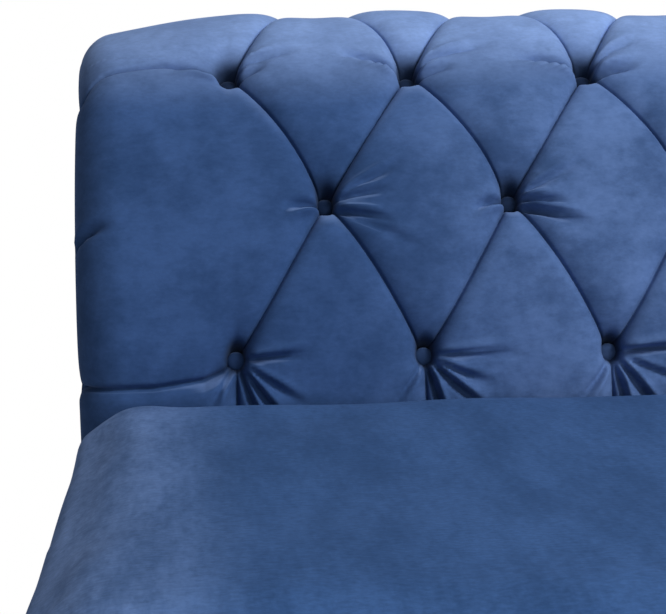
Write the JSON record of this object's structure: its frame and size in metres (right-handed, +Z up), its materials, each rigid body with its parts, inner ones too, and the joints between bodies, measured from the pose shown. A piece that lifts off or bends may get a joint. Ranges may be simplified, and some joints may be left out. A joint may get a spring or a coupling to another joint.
{
  "type": "chesterfield sofa",
  "caption": "Armless chesterfield settee in blue velvet: deep-buttoned diamond back that scrolls over at the top, a loose bench seat cushion, padded borders and turned legs.",
  "frame": {"origin": "on the floor, under the centre of the settee's outline", "axes": "+X along the length, to the right as seen from the front; -Y to the front; +Z up"},
  "size_m": [1.6, 0.9611, 0.7871],
  "materials": {
    "blue_velvet": "matte",
    "foam": "matte",
    "hardwood": "matte",
    "plywood": "matte",
    "stained_leg": "satin",
    "zinc_steel": "satin",
    "spring_steel": "satin",
    "felt": "matte",
    "black_lining": "matte",
    "twine": "matte",
    "nylon_glide": "matte"
  },
  "bodies": {
    "settee": {"inside_back_cover": "blue_velvet", "outside_back_cover": "blue_velvet", "left_end_cover": "blue_velvet", "right_end_cover": "blue_velvet", "front_border_cover": "blue_velvet", "left_border_cover": "blue_velvet", "right_border_cover": "blue_velvet", "tuft_buttons": "blue_velvet", "back_foam": "foam", "front_border_padding": "foam", "left_border_padding": "foam", "right_border_padding": "foam", "left_end_padding": "foam", "right_end_padding": "foam", "front_rail": "hardwood", "rear_rail": "hardwood", "left_side_rail": "hardwood", "right_side_rail": "hardwood", "spring_rail": "hardwood", "centre_brace": "hardwood", "corner_blocks": "hardwood", "roll_stringer": "hardwood", "lower_stringer": "hardwood", "left_end_rib": "plywood", "right_end_rib": "plywood", "inner_back_ribs": "plywood", "back_skin_board": "plywood", "outside_back_board": "plywood", "button_toggles": "plywood", "front_left_leg": "stained_leg", "front_right_leg": "stained_leg", "rear_left_leg": "stained_leg", "rear_right_leg": "stained_leg", "centre_leg": "stained_leg", "frame_screws": "zinc_steel", "bracket_screws": "zinc_steel", "back_brackets": "zinc_steel", "leg_bolts": "zinc_steel", "leg_tee_nuts": "zinc_steel", "spring_clips": "zinc_steel", "seat_springs": "spring_steel", "deck_felt": "felt", "deck_cloth": "black_lining", "dust_cover": "black_lining", "button_twines": "twine", "leg_glides": "nylon_glide"},
    "seat_cushion": {"seat_cushion_cover": "blue_velvet", "seat_cushion_foam": "foam"}
  },
  "joints": [
    {"name": "seat_cushion_lift", "type": "slide", "parent": "settee", "child": "seat_cushion", "axis": [0, 0, 1], "range_m": [0, 0.52]}
  ]
}
